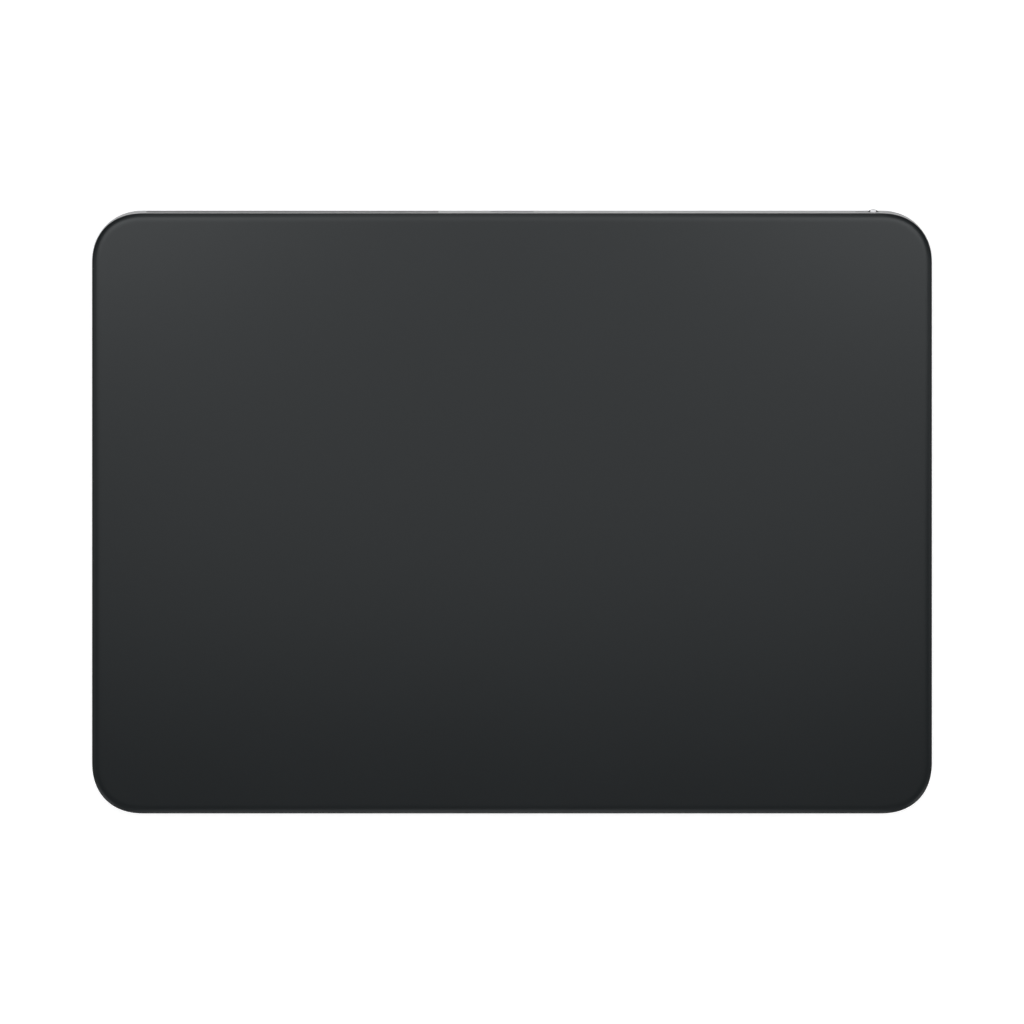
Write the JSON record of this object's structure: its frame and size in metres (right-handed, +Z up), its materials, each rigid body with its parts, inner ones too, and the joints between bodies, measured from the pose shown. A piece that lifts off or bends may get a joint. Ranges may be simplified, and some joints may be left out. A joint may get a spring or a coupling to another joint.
{
  "type": "trackpad",
  "caption": "Flat wedge-shaped desk trackpad: dark glass touch surface on an aluminium case with a rear charging port and slide switch, standing on force-sensing feet.",
  "frame": {"origin": "on the desk, under the middle of the part's box", "axes": "+X to the user's right, +Y to the rear edge, away from the user, +Z up"},
  "size_m": [0.16, 0.1151, 0.0108],
  "materials": {
    "glass": "satin, dark back coat",
    "aluminium": "bead blasted, anodised",
    "plate": "rolled sheet",
    "base": "fine grained",
    "window": "smooth satin",
    "seal": "foam tape",
    "board": "solder mask",
    "steel": "plain sheet",
    "magnet": "nickel plated",
    "chip": "moulded",
    "connector": "moulded",
    "copper": "bare copper",
    "gold": "gold plated",
    "cell": "foil pouch",
    "cable": "polyimide film",
    "foot": "matt rubber",
    "silicone": "clear silicone"
  },
  "bodies": {
    "case": {"touch_glass": "glass", "glass_seal": "seal", "touch_sensor": "board", "mid_plate": "plate", "case": "aluminium", "base_seal": "seal", "base_plate": "base", "antenna_window": "window", "antenna_board": "board", "antenna_strip": "copper", "logic_board": "board", "shield_can": "steel", "controller_chips": "chip", "board_connectors": "connector", "board_posts": "steel", "board_screws": "steel", "port_shell": "steel", "port_tongue": "chip", "port_contacts": "gold", "switch_housing": "steel", "switch_board": "board", "switch_screw": "steel", "switch_cable": "cable", "battery_cell": "cell", "battery_board": "board", "battery_tape": "seal", "battery_cable": "cable", "sensor_cable": "cable", "haptic_frame": "steel", "haptic_coils": "copper", "haptic_springs": "steel", "haptic_screws": "steel", "haptic_cable": "cable", "front_left_pad": "silicone", "front_right_pad": "silicone", "rear_left_pad": "silicone", "rear_right_pad": "silicone", "front_left_flexure": "steel", "front_right_flexure": "steel", "rear_left_flexure": "steel", "rear_right_flexure": "steel", "strain_gauges": "cable", "flexure_posts": "steel", "flexure_screws": "steel", "left_force_cable": "cable", "right_force_cable": "cable"},
    "power_switch": {"power_switch": "aluminium", "switch_lever": "chip"},
    "haptic_mass": {"haptic_mass": "steel", "haptic_magnets": "magnet"},
    "front_left_foot": {"front_left_foot": "foot", "front_left_flange": "steel"},
    "front_right_foot": {"front_right_foot": "foot", "front_right_flange": "steel"},
    "rear_left_foot": {"rear_left_foot": "foot", "rear_left_flange": "steel"},
    "rear_right_foot": {"rear_right_foot": "foot", "rear_right_flange": "steel"}
  },
  "joints": [
    {"name": "power_switch_slide", "type": "slide", "parent": "case", "child": "power_switch", "axis": [1, 0, 0], "range_m": [-0.0022, 0]},
    {"name": "haptic_mass_slide", "type": "slide", "parent": "case", "child": "haptic_mass", "axis": [1, 0, 0], "range_m": [-0.0003, 0.0003], "stiffness_N_per_m": 8000},
    {"name": "front_left_foot_press", "type": "slide", "parent": "case", "child": "front_left_foot", "axis": [0, 0, 1], "range_m": [0, 0.0002], "stiffness_N_per_m": 20000, "deforming": ["front_left_pad"]},
    {"name": "front_right_foot_press", "type": "slide", "parent": "case", "child": "front_right_foot", "axis": [0, 0, 1], "range_m": [0, 0.0002], "stiffness_N_per_m": 20000, "deforming": ["front_right_pad"]},
    {"name": "rear_left_foot_press", "type": "slide", "parent": "case", "child": "rear_left_foot", "axis": [0, 0, 1], "range_m": [0, 0.0002], "stiffness_N_per_m": 20000, "deforming": ["rear_left_pad"]},
    {"name": "rear_right_foot_press", "type": "slide", "parent": "case", "child": "rear_right_foot", "axis": [0, 0, 1], "range_m": [0, 0.0002], "stiffness_N_per_m": 20000, "deforming": ["rear_right_pad"]}
  ]
}
